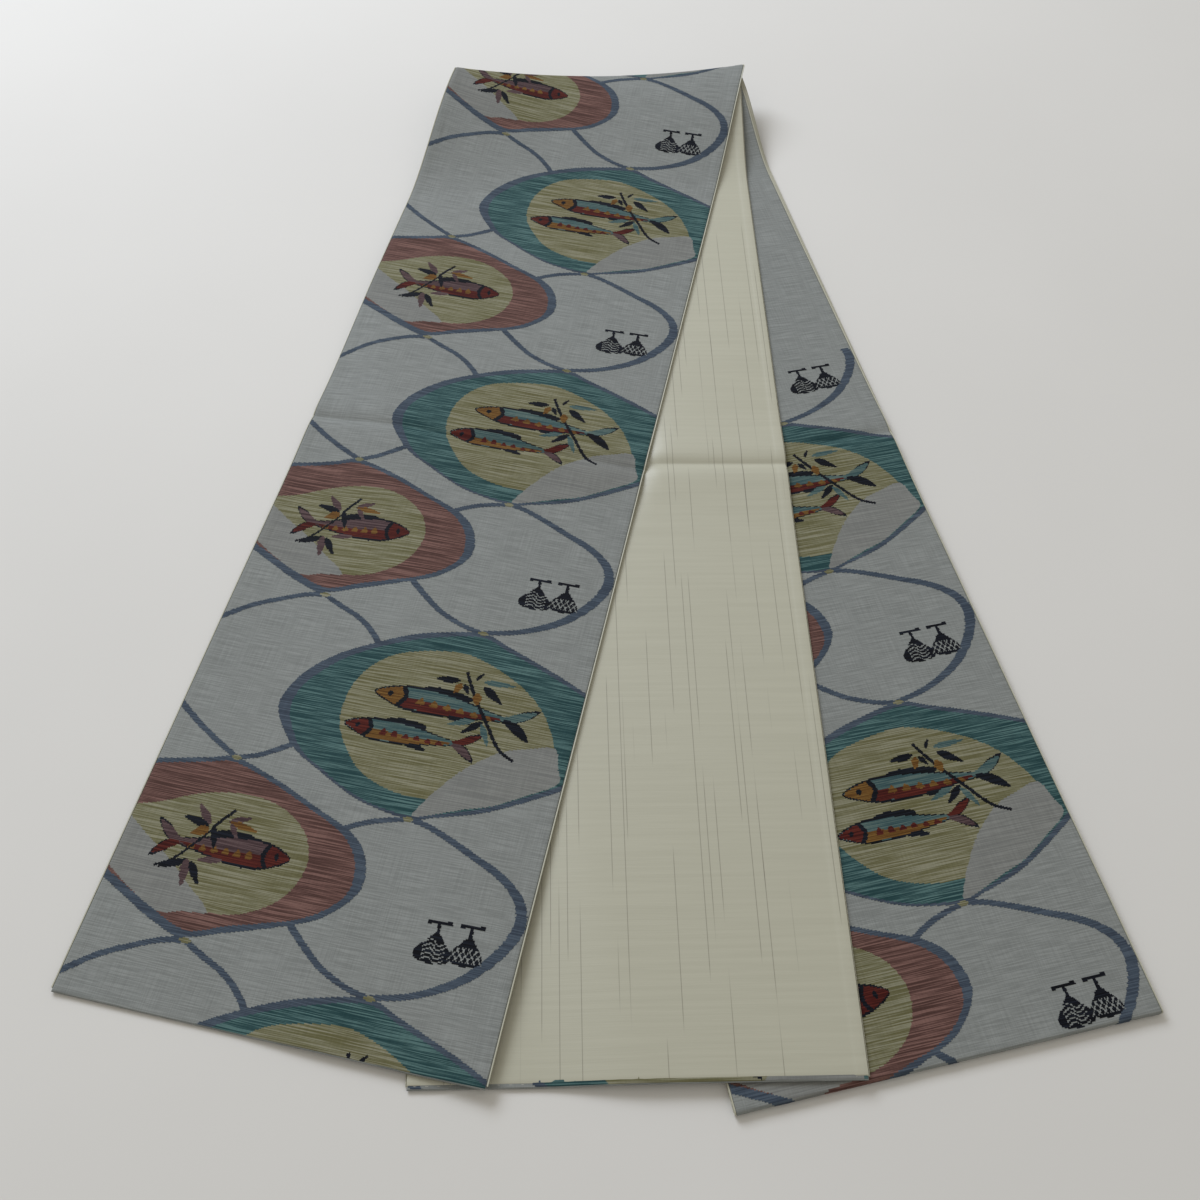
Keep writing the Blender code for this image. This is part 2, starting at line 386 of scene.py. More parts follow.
def roundOff(distance):
    # a quarter circle from 0 at the edge to 1 where the roll ends
    inside = min(1.0, max(0.0, distance / strip["edgeRoll"]))
    return math.sqrt(1.0 - (1.0 - inside) ** 2)


def edgeShare(span, side, run, half):
    # 1 on the face side and less where an edge is rounded.  A run below zero is on the
    # turned-in end, which lies just under the lining's level
    share = roundOff(half - abs(side))
    if span in ("left", "middle"):
        share *= roundOff(abs(run)) * (strip["turnedLevel"] if run < 0.0 else 1.0)
    return share


def liningShare(share, side):
    # past the face cloth's edge the lining curls up as a thin lip
    beyond = (abs(side) - halfWidth) / strip["liningPeep"]
    if beyond <= 0.0:
        return share
    if beyond > 0.95:
        return strip["liningRim"]
    return share - (share + strip["liningLip"]) * smoothStep(beyond / 0.55)


def onLayer(spot, normal, offset, share, side, half):
    # the step of the turned-in allowance prints through both cloths
    inside = strip["allowance"] - half + abs(side)
    printed = strip["allowanceStep"] * smoothStep(inside / strip["allowanceSlope"])
    return spot + normal * (offset * share + math.copysign(printed * share, offset))


def makePiece(name, spots, faces, material, reaches=None, faceMaterials=None):
    mesh = bpy.data.meshes.new(name)
    mesh.from_pydata([tuple(spot) for spot in spots], [], faces)
    piece = bpy.data.objects.new(name, mesh)
    bpy.context.scene.collection.objects.link(piece)
    for one in material:
        mesh.materials.append(one)
    if faceMaterials:
        mesh.polygons.foreach_set("material_index", faceMaterials)
    if reaches:
        # cloth: metres across and along the strip, for the weave in the materials
        cloth = mesh.attributes.new("cloth", "FLOAT_VECTOR", "POINT")
        cloth.data.foreach_set("vector", [number for place in reaches for number in (*place, 0.0)])
        lows = [min(place[axis] for place in reaches) for axis in (0, 1)]
        sizes = [max(place[axis] for place in reaches) - lows[axis] for axis in (0, 1)]
        flat = mesh.uv_layers.new(name="OFBake")
        for loop in mesh.loops:
            place = reaches[loop.vertex_index]
            flat.data[loop.index].uv = [(place[axis] - lows[axis]) / max(sizes[axis], 1e-6)
                                        for axis in (0, 1)]
    return piece


def settle(piece):
    # applies the modifiers, then smooth shading with crisp rims
    depsgraph = bpy.context.evaluated_depsgraph_get()
    mesh = bpy.data.meshes.new_from_object(piece.evaluated_get(depsgraph))
    piece.modifiers.clear()
    piece.data = mesh
    mesh.polygons.foreach_set("use_smooth", [True] * len(mesh.polygons))
    mesh.set_sharp_from_angle(angle=math.radians(50.0))


def crossLines(half):
    # mesh lines across the strip: close at the rolled edges and over the allowance's step
    west = [-half + distance for distance in grid["sideLines"]]
    inner = half - grid["sideLines"][-1]
    count = round(2.0 * inner / grid["acrossCell"])
    middle = [inner * (2.0 * step / count - 1.0) for step in range(1, count)]
    return west + middle + [-side for side in reversed(west)]


def coreLines():
    inner = halfWidth - strip["coreMargin"]
    count = round(2.0 * inner / grid["coreCell"])
    return [inner * (2.0 * step / count - 1.0) for step in range(count + 1)]


def runLines(key, closedFront, core=False):
    # mesh lines along a leaf, as runs on its centre line
    leaf = fan[key]
    runs = [0.0, *grid["endLines"]] if closedFront else [0.0]
    if core and closedFront:
        runs = [strip["coreMargin"]]
    riseStart = leaf["length"] - leaf["rise"] - grid["riseMargin"]
    run = runs[-1] + grid["endGap"]
    while run < leaf["length"] - grid["endGap"]:
        runs.append(run)
        cell = grid["riseCell"] if run > riseStart else grid["lengthCell"]
        if leaf["creaseHigh"] and abs(run - leaf["creaseAt"]) < grid["creaseReach"]:
            cell = grid["creaseCell"]
        run += cell
    return runs + [leaf["length"]]


def slantedRun(leaf, side, run):
    # runs straight across in the middle, along the front line and the fold line at the ends
    reach = grid["squareFrom"]
    if run < reach and leaf["frontLine"] != leaf["heading"] + 90.0:
        start = frontRun(leaf, side)
        return start + run * (reach - start) / reach
    begin = leaf["length"] - grid["squareUntil"]
    if run > begin:
        return begin + (run - begin) * (foldRun(leaf, side) - begin) / (leaf["length"] - begin)
    return run


def leafRows(key, closedFront, layer):
    runs = runLines(key, closedFront, layer == "core")
    if closedFront and layer == "face_cloth":
        turned = grid["endLines"] + grid["turnedLines"]
        runs = [-run for run in reversed(turned)] + runs
    if closedFront and layer == "lining":
        runs = [run + strip["liningBack"] * max(0.0, 1.0 - run / strip["liningEase"]) for run in runs]
    rows = [(key, run) for run in runs]
    return rows if key in ("left", "top") else rows[::-1]


def foldRows(name, downward):
    shares = [step / grid["loopRows"] for step in range(grid["loopRows"] + 1)]
    return [(name, share) for share in (shares[::-1] if downward else shares)]


def foldPlace(span, side, station):
    # spot, normal, run and reach; the inner fold has no pattern, so its reach only places the weave
    start, end = spans[span]["range"](side) if span in spans else (0.0, pattern["innerArc"])
    if span == "outer":
        start, end = end, start
    return (*foldSpot(span, side, station), None, start + (end - start) * station)


def leafPlace(span, side, station):
    run = slantedRun(fan[span], side, station)
    spot = leafSpot(span, side, abs(run) if span in ("left", "middle") else run)
    return (*spot, run, reachOf(span, side, run))


def makeCloth(name, rows, layer, material, sides=None):
    # one layer of the strip as a closed sheet with its real thickness
    facts = layers[layer]
    half = halfWidth + (strip["liningPeep"] if layer == "lining" else 0.0)
    if sides is None:
        sides = coreLines() if layer == "core" else crossLines(half)
    spots = []
    reaches = []
    for span, station in rows:
        for side in sides:
            spot, normal, run, reach = (foldPlace if span in folds else leafPlace)(span, side, station)
            reaches.append((side + halfWidth, reach))
            if layer == "core":
                spots.append(spot + normal * facts["offset"])
                continue
            if layer == "lining" and span in ("left", "middle"):
                run = max(run - strip["liningBack"], 0.0)
            share = edgeShare(span, side, run, half)
            if layer == "lining":
                share = liningShare(share, side)
            spots.append(onLayer(spot, normal, facts["offset"], share, side, half))
    wide = len(sides)
    faces = []
    for row in range(len(rows) - 1):
        for column in range(wide - 1):
            first = row * wide + column
            faces.append((first, first + 1, first + wide + 1, first + wide))
    piece = makePiece(name, spots, faces, [material], reaches)
    shell = piece.modifiers.new("thickness", "SOLIDIFY")
    shell.thickness = facts["thick"]
    shell.offset = facts["inward"]
    settle(piece)
    return piece


# Drawing the pattern.  Places are in millimetres: across from the west edge, and up the repeat.
pathSteps = 5    # points on a curve from one of its drawn points to the next


def smoothPath(points, closed=False):
    # a Catmull-Rom curve through the points
    count = len(points)
    path = []
    for index in range(count if closed else count - 1):
        if closed:
            a, b, c, d = (points[(index + step) % count] for step in (-1, 0, 1, 2))
        else:
            a, b, c, d = (points[min(max(index + step, 0), count - 1)] for step in (-1, 0, 1, 2))
        for step in range(pathSteps):
            t = step / pathSteps
            path.append([0.5 * (2.0 * b[axis] + (c[axis] - a[axis]) * t
                                + (2.0 * a[axis] - 5.0 * b[axis] + 4.0 * c[axis] - d[axis]) * t * t
                                + (3.0 * b[axis] - a[axis] - 3.0 * c[axis] + d[axis]) * t ** 3)
                         for axis in range(len(b))])
    if not closed:
        path.append(list(points[-1]))
    return path


def fillShape(canvas, points, yarn):
    # lays one yarn into every row that the outline covers; the pattern repeats upwards
    low = math.floor(min(point[1] for point in points))
    high = math.ceil(max(point[1] for point in points))
    column = pattern["column"] * 1000.0
    for row in range(low, high + 1):
        level = row + 0.5
        crossings = []
        for (x0, y0), (x1, y1) in zip(points, points[1:] + points[:1]):
            if (y0 <= level) != (y1 <= level):
                wander = ragged.uniform(-pattern["ragged"], pattern["ragged"])
                crossings.append(x0 + (level - y0) * (x1 - x0) / (y1 - y0) + wander)
        crossings.sort()
        line = canvas[row % len(canvas)]
        for left, right in zip(crossings[::2], crossings[1::2]):
            first = max(0, round(left / column))
            last = min(len(line), round(right / column))
            for place in range(first, last):
                line[place] = yarn


def drawLine(canvas, points, yarn):
    # a line of varying width: each point is (across, up, width)
    path = smoothPath(points)
    left = []
    right = []
    for index, (x, y, width) in enumerate(path):
        before = path[max(index - 1, 0)]
        after = path[min(index + 1, len(path) - 1)]
        dx = after[0] - before[0]
        dy = after[1] - before[1]
        size = math.hypot(dx, dy) or 1.0
        left.append((x - dy / size * width / 2.0, y + dx / size * width / 2.0))
        right.append((x + dy / size * width / 2.0, y - dx / size * width / 2.0))
    fillShape(canvas, left + right[::-1], yarn)


def drawShape(canvas, points, yarn, place=(0.0, 0.0), size=(1.0, 1.0), turn=0.0):
    # a smooth closed shape, scaled, turned and moved into place
    c = math.cos(math.radians(turn))
    s = math.sin(math.radians(turn))
    moved = []
    for x, y in smoothPath(points, closed=True):
        x, y = x * size[0], y * size[1]
        moved.append((place[0] + x * c - y * s, place[1] + x * s + y * c))
    fillShape(canvas, moved, yarn)


medallions = {
    "teal": {
        "outline": [(216, 345), (180, 338), (150, 328), (110, 307), (85, 283), (74, 257), (78, 240),
                    (97, 217), (120, 203), (160, 184), (203, 176), (220, 180), (260, 193),
                    (310, 222), (335, 240), (335, 298), (310, 309), (280, 322), (240, 337)],
        "field": [(216, 341), (180, 333), (140, 318), (110, 299), (90, 275), (84, 258), (87, 240),
                  (105, 215), (125, 203), (150, 190), (175, 182), (203, 179), (225, 184),
                  (262, 198), (310, 227), (335, 245), (335, 293), (310, 305), (280, 318), (240, 333)],
        "disc": [(200, 323), (160, 315), (140, 303), (128, 285), (124, 262), (128, 240), (140, 222),
                 (155, 207), (175, 198), (200, 194), (240, 197), (285, 214), (303, 228),
                 (303, 238), (297, 255), (290, 270), (280, 285), (265, 299), (245, 311), (222, 320)],
        "ground": [(205, 179), (212, 194), (222, 209), (234, 224), (248, 237), (262, 246),
                   (280, 252), (297, 256), (303, 240), (306, 227), (284, 212), (262, 198.5),
                   (240, 190.5), (222, 183.5)],
    },
    "rust": {
        "outline": [(-25, 176), (0, 184), (20, 189), (40, 194), (59, 198), (95, 187), (135, 170),
                    (165, 157), (180, 142), (186, 122), (180, 105), (160, 87), (130, 75),
                    (100, 65), (73, 57), (40, 69), (0, 88), (-25, 100)],
        "field": [(-25, 172), (0, 180), (20, 185), (40, 190), (59, 194), (92, 184), (130, 168),
                  (156, 156), (171, 142), (178, 122), (173, 104), (152, 87), (126, 78),
                  (100, 70), (73, 61), (40, 73), (0, 92), (-25, 104)],
        "disc": [(-25, 139), (0, 145), (20, 152), (40, 162), (60, 168), (80, 170), (100, 168),
                 (120, 159), (134, 146), (141, 128), (139, 112), (130, 96), (112, 83), (90, 77),
                 (60, 80), (0, 110)],
        "ground": [(-25, 150), (0, 135), (20, 122), (40, 110), (60, 95), (83, 77), (66, 74),
                   (48, 70), (20, 83), (0, 95), (-25, 107)],
    },
}

# the slate lines that run from medallion to medallion: across, up, width
flowLines = [
    [(76, 357, 4.2), (90, 350, 4.2), (110, 341, 4.2), (125, 330, 4.4), (135, 319, 5)],
    [(76, 357, 4.2), (60, 354, 4.2), (40, 345, 4.4), (20, 334, 4.4), (0, 318, 4.6), (-8, 311, 4.6)],
    [(76, 357, 4.0), (60, 363, 4.0), (40, 371, 4.0), (20, 381, 4.0), (0, 391, 4.2), (-8, 395, 4.2)],
    [(-8, 240, 4.6), (0, 234, 4.6), (20, 220, 4.4), (40, 208, 4.2), (59, 198, 4.0)],
    [(59, 198, 4.0), (75, 204, 4.2), (88, 212, 4.6), (98, 219, 5.0)],
    [(158, 159, 4.2), (175, 168, 4.2), (190, 173, 4.0), (203, 176, 3.8)],
    [(206, 479, 3.8), (220, 476, 4.2), (240, 468, 4.6), (260, 459, 5), (280, 450, 5.6),
     (293, 441, 6.4), (302, 430, 7.4), (305, 416, 8.6), (300, 400, 8.2), (290, 385, 7.4),
     (275, 370, 6.4), (255, 358, 5.2), (235, 350, 4.4), (216, 346, 3.8)],
    [(216, 345, 3.8), (200, 348, 4.0), (180, 356, 4.2), (165, 366, 4.4), (146, 382, 5.0),
     (137, 391, 5.0)],
]
lineKnots = [(59, 198), (76, 357), (203, 176), (216, 345)]   # a small straw diamond at each

# simple creatures and leaves of our own, each drawn one unit long and one unit high
fishShapes = {
    "body": [(0.0, 0.0), (0.10, 0.30), (0.28, 0.48), (0.52, 0.44), (0.78, 0.20), (0.90, 0.10),
             (0.90, -0.10), (0.76, -0.24), (0.50, -0.46), (0.26, -0.50), (0.09, -0.28)],
    "belly": [(0.17, -0.10), (0.30, -0.02), (0.55, -0.08), (0.88, 0.0), (0.86, -0.12),
              (0.72, -0.28), (0.50, -0.46), (0.27, -0.50), (0.16, -0.40)],
    "head": [(0.0, 0.0), (0.09, 0.27), (0.19, 0.40), (0.21, 0.0), (0.18, -0.42), (0.09, -0.28)],
    "gill": [(0.17, 0.40), (0.21, 0.38), (0.235, 0.0), (0.20, -0.44), (0.165, -0.42), (0.20, 0.0)],
    "backFin": [(0.32, 0.44), (0.36, 0.70), (0.52, 0.74), (0.66, 0.60), (0.62, 0.34)],
    "breastFin": [(0.26, -0.16), (0.40, -0.30), (0.36, -0.62), (0.28, -0.44)],
    "lowerFin": [(0.52, -0.42), (0.64, -0.40), (0.72, -0.62), (0.58, -0.62)],
    "tailUp": [(0.84, 0.08), (0.92, 0.16), (1.02, 0.50), (1.12, 0.66), (1.06, 0.24), (0.97, -0.02)],
    "tailDown": [(0.84, -0.08), (0.92, -0.16), (1.00, -0.44), (1.10, -0.62), (1.05, -0.20),
                 (0.97, 0.02)],
    "eye": [(0.085, 0.02), (0.105, 0.16), (0.125, 0.02), (0.105, -0.12)],
}
leafShape = [(0.0, 0.0), (0.28, 0.42), (0.62, 0.36), (1.0, 0.0), (0.62, -0.36), (0.28, -0.42)]


def drawFish(canvas, place, length, high, turn, yarns, flip=1.0):
    size = (length * flip, high)
    # the dark edging first, a little bigger all round
    rim = (length * 1.03 * flip, high * 1.20)
    back = (place[0] - 0.012 * length * flip, place[1])
    for shape in ("tailUp", "tailDown", "body"):
        drawShape(canvas, fishShapes[shape], "navy", back, rim, turn)
    for shape in ("tailUp", "tailDown", "backFin", "breastFin", "lowerFin", "body", "belly"):
        drawShape(canvas, fishShapes[shape], yarns[shape], place, size, turn)
    for step in range(6):
        # a row of scallops where back and belly meet
        x = 0.30 + 0.095 * step
        bump = [(x, -0.20), (x + 0.03, 0.10 - 0.02 * step), (x + 0.06, -0.20)]
        drawShape(canvas, bump, yarns["scallop"], place, size, turn)
    for shape in ("head", "gill", "eye"):
        drawShape(canvas, fishShapes[shape], yarns[shape], place, size, turn)


# each leaf of a spray: across, up, length, width, turn, yarn
fishSpray = {
    "stem": [(213, 307, 2.4), (225, 286, 2.8), (240, 265, 2.8), (254, 246, 3), (268, 238, 2)],
    "leaves": [(210, 298, 20, 7, 185, "navy"), (229, 297, 22, 8, -35, "navy"),
               (222, 301, 9, 4, 60, "navy"), (228, 301, 26, 6, 3, "seaGreen"),
               (214, 296, 10, 5, -60, "navy"), (212, 296, 11, 7, 245, "gold"),
               (226, 290, 11, 8, -80, "gold"), (237, 266, 20, 7, 222, "navy"),
               (230, 266, 22, 6, 202, "seaGreen"), (236, 264, 20, 6, -62, "seaGreen")],
}
plumSpray = {
    "stem": [(75, 156, 2.4), (66, 144, 2.4), (61, 134, 2), (50, 118, 2.2), (42, 108, 2.2),
             (32, 102, 2)],
    "leaves": [(60, 141, 20, 7, 132, "plum"), (60, 140, 22, 7, 170, "navy"),
               (73, 146, 17, 6, 22, "plum"), (74, 146, 23, 6, -8, "gold"),
               (75, 145, 14, 5, -50, "plum"), (61, 138, 14, 9, 208, "gold"),
               (64, 140, 18, 6, -72, "navy"), (55, 111, 22, 7, 205, "navy"),
               (54, 112, 21, 8, -82, "plum"), (57, 111, 20, 7, -55, "navy")],
}


def drawSpray(canvas, spray):
    drawLine(canvas, spray["stem"], "navy")
    for x, y, length, width, turn, yarn in spray["leaves"]:
        drawShape(canvas, leafShape, yarn, (x, y), (length, width), turn)


def drawBasket(canvas, x, y, width, high, lattice):
    # a long-necked net basket hanging from a bar
    top = y + high + 8
    drawLine(canvas, [(x - 9, top - 0.5, 2.4), (x, top, 2.4), (x + 9, top + 0.5, 2.4)], "navy")
    drawLine(canvas, [(x, top, 3.0), (x, top - 6, 2.4), (x, top - 11, 6.0)], "navy")
    bag = [(-0.06, 1.0), (-0.26, 0.72), (-0.48, 0.34), (-0.40, 0.06), (0.0, -0.03), (0.40, 0.06),
           (0.48, 0.34), (0.26, 0.72), (0.06, 1.0)]
    drawShape(canvas, bag, "navy", (x, y), (width, high))
    for step in range(-2, 3):
        if lattice:
            start = x + step * width * 0.18
            for lean in (3.6, -3.6):
                drawLine(canvas, [(start - lean, y + 2, 0.9), (start + lean, y + high * 0.62, 0.9)], None)
        else:
            start = y + (step + 2.4) * high * 0.15
            drawLine(canvas, [(x - 8, start, 0.9), (x - 2, start + 2.6, 1.0),
                              (x + 3, start - 1.2, 0.9), (x + 9, start + 1.4, 0.9)], None)


paleFish = {"body": "seaGreen", "belly": "scarlet", "head": "gold", "gill": "navy", "eye": "navy",
            "backFin": "navy", "breastFin": "navy", "lowerFin": "navy", "tailUp": "seaGreen",
            "tailDown": "navy", "scallop": "gold"}
redHeadFish = {**paleFish, "belly": "gold", "head": "scarlet", "scallop": "scarlet",
               "tailUp": "scarlet", "tailDown": "plum"}
plumFish = {**paleFish, "body": "plum", "head": "scarlet", "tailUp": "plum", "tailDown": "scarlet",
            "scallop": "gold", "lowerFin": "plum"}


def drawPattern():
    rows = round(pattern["repeat"] / pattern["row"])
    columns = round(strip["width"] / pattern["column"])
    canvas = [[None] * columns for row in range(rows)]
    for line in flowLines:
        drawLine(canvas, line, "slate")
    for key, shapes in medallions.items():
        drawShape(canvas, shapes["outline"], "slate")
        drawShape(canvas, shapes["field"], key)
        drawShape(canvas, shapes["disc"], "straw")
        drawShape(canvas, shapes["ground"], "silver")
    for x, y in lineKnots:
        drawShape(canvas, [(-4.5, 0), (0, 2.2), (4.5, 0), (0, -2.2)], "straw", (x, y))
    drawFish(canvas, (146, 277), 116, 19, -3.0, paleFish)
    drawFish(canvas, (131, 245), 96, 17, -1.5, redHeadFish)
    drawFish(canvas, (127, 127), 92, 20, 2.0, plumFish, flip=-1.0)
    drawSpray(canvas, fishSpray)
    drawSpray(canvas, plumSpray)
    drawBasket(canvas, 249, 75, 28, 21, False)
    drawBasket(canvas, 273, 77, 25, 20, True)
    return canvas


ragged = random.Random(11)
canvas = drawPattern()


def rowRuns(line):
    # a row of the pattern as (start, end, yarn), in metres across
    runs = []
    for place, yarn in enumerate(line):
        if yarn is None:
            continue
        if runs and runs[-1][1] == place and runs[-1][2] == yarn:
            runs[-1][1] = place + 1
        else:
            runs.append([place, place + 1, yarn])
    return [(start * pattern["column"], end * pattern["column"], yarn) for start, end, yarn in runs]


patternRuns = [rowRuns(line) for line in canvas]
print("pattern drawn:", sum(len(runs) for runs in patternRuns), "runs of yarn in one repeat")


# Materials
def linearColour(hexCode):
    parts = [int(hexCode[place:place + 2], 16) / 255.0 for place in (0, 2, 4)]
    return (*[part / 12.92 if part <= 0.04045 else ((part + 0.055) / 1.055) ** 2.4
              for part in parts], 1.0)


def setUp(material, node, settings, *links):
    # settings: socket name or number, or else a property of the node.  links: (socket, source)
    for name, value in settings.items():
        if isinstance(name, int) or name in node.inputs:
            node.inputs[name].default_value = value
        else:
            setattr(node, name, value)
    for socket, source in links:
        material.node_tree.links.new(source, node.inputs[socket])
    return node


def addNode(material, kind, settings, *links):
    return setUp(material, material.node_tree.nodes.new("ShaderNode" + kind), settings, *links)


def setRamp(node, *stops):
    # stops: (position, hex colour), the two ends first
    ramp = node.color_ramp
    for place, (position, hexCode) in enumerate(stops):
        stop = ramp.elements[place] if place < 2 else ramp.elements.new(position)
        stop.position = position
        stop.color = linearColour(hexCode)
    return node.outputs["Color"]


def newMaterial(name):
    material = bpy.data.materials.new(name)
    material.use_nodes = True
    return material, material.node_tree.nodes["Principled BSDF"]


# the crossing threads: real ones are 0.4 mm apart, drawn coarser so that they show
threads = {"endSpacing": 0.0008, "pickSpacing": 0.0010}


def wovenSilk(name, look):
    # Silk wefts, dyed in the yarn and not quite evenly: streaks along the weft, and a fine
    # rib.  A second, lengthwise noise gives the slubs of the warp.
    material, shader = newMaterial(name)
    cloth = addNode(material, "Attribute", {"attribute_name": "cloth"}).outputs["Vector"]
    weft = addNode(material, "VectorMath", {"operation": "MULTIPLY", 1: look["weftScale"]}, (0, cloth))
    warp = addNode(material, "VectorMath", {"operation": "MULTIPLY", 1: look["warpScale"]}, (0, cloth))
    weftNoise = addNode(material, "TexNoise", {"noise_dimensions": "2D", "Scale": 1.0, "Detail": 3.0,
                        "Roughness": 0.62}, ("Vector", weft.outputs[0]))
    warpNoise = addNode(material, "TexNoise", {"noise_dimensions": "2D", "Scale": 1.0, "Detail": 2.0,
                        "Roughness": 0.6}, ("Vector", warp.outputs[0]))
    # which shade of the yarn each pick has
    shades = setRamp(addNode(material, "ValToRGB", {}, ("Fac", weftNoise.outputs["Fac"])),
                     (0.40, look["deep"]), (0.60, look["pale"]), (0.5, look["colour"]))
    slub = addNode(material, "MapRange", {"From Min": 0.30, "From Max": 0.72,
                   "To Min": look["slubDark"], "To Max": look["slubPale"]},
                   ("Value", warpNoise.outputs["Fac"]))
    shaded = addNode(material, "VectorMath", {"operation": "SCALE"}, (0, shades),
                     ("Scale", slub.outputs["Result"]))
    split = addNode(material, "SeparateXYZ", {}, (0, cloth))
    waves = []
    for axis, spacing in (("X", threads["endSpacing"]), ("Y", threads["pickSpacing"])):
        turns = addNode(material, "Math", {"operation": "MULTIPLY", 1: math.tau / spacing},
                        (0, split.outputs[axis]))
        waves.append(addNode(material, "Math", {"operation": "SINE"}, (0, turns.outputs[0])))
    weave = addNode(material, "Math", {"operation": "MULTIPLY"}, (0, waves[0].outputs[0]),
                    (1, waves[1].outputs[0]))
    high = addNode(material, "Math", {"operation": "MULTIPLY_ADD", 1: look["weaveHigh"]},
                   (0, weave.outputs[0]), (2, weftNoise.outputs["Fac"]))
    bump = addNode(material, "Bump", {"Strength": look["bump"], "Distance": 0.0004},
                   ("Height", high.outputs[0]))
    rough = addNode(material, "MapRange", {"To Min": look["rough"] - 0.06,
                    "To Max": look["rough"] + 0.08}, ("Value", weftNoise.outputs["Fac"]))
    setUp(material, shader, {"IOR": 1.54, "Specular IOR Level": look["gloss"]},
          ("Base Color", shaded.outputs[0]), ("Normal", bump.outputs["Normal"]),
          ("Roughness", rough.outputs["Result"]))
    return material


# weftScale: across and along the strip, in 1/m, so that a streak is about 55 mm long and 1 mm
# wide, as where the dye changes from pick to pick.  warpScale: slubs 1.4 mm wide and 33 mm long
yarnBase = {"weftScale": (18.0, 1050.0, 0.0), "warpScale": (700.0, 30.0, 0.0), "slubDark": 0.94,
            "slubPale": 1.06, "weaveHigh": 0.25, "bump": 0.35, "rough": 0.74, "gloss": 0.08}
groundLook = {**yarnBase, "colour": "7B7E7B", "deep": "747774", "pale": "848784",
              "weftScale": (34.0, 1250.0, 0.0), "warpScale": (1150.0, 26.0, 0.0),
              "slubDark": 0.92, "slubPale": 1.08, "weaveHigh": 0.5, "gloss": 0.15}
yarnLooks = {
    "slate": {**yarnBase, "colour": "3C4651", "deep": "343C47", "pale": "49535E"},
    "teal": {**yarnBase, "colour": "2D4748", "deep": "1F3A3C", "pale": "506B69"},
    "rust": {**yarnBase, "colour": "563E39", "deep": "45302B", "pale": "735750"},
    "straw": {**yarnBase, "colour": "69674E", "deep": "5A573A", "pale": "7F7D69"},
    "silver": {**yarnBase, "colour": "737470", "deep": "6C6D6A", "pale": "7B7C78"},
    "navy": {**yarnBase, "colour": "0C0F15", "deep": "08090D", "pale": "171B24"},
    "scarlet": {**yarnBase, "colour": "431713", "deep": "33100D", "pale": "53241C"},
    "gold": {**yarnBase, "colour": "5E401C", "deep": "4C3214", "pale": "6E532A"},
    "seaGreen": {**yarnBase, "colour": "3C5252", "deep": "2F4548", "pale": "556560"},
    "plum": {**yarnBase, "colour": "453536", "deep": "37292B", "pale": "584848"},
}
faceSilk = wovenSilk("woven_silk_ground", groundLook)
yarnNames = list(yarnLooks)
yarnSilks = [wovenSilk("silk_weft_" + name, look) for name, look in yarnLooks.items()]

liningLook = {
    "deep": "A3A18E",
    "pale": "A7A592",
    "rawThread": "514B3E",
    "rawStrength": 0.55,
    "rawWide": 0.00042,
    # each set of raw threads: how many to the metre, where it starts, the share left hidden
    "rawSets": ((34.0, 0.31, 0.50), (19.0, 4.7, 0.44), (75.0, 9.2, 0.55)),
}


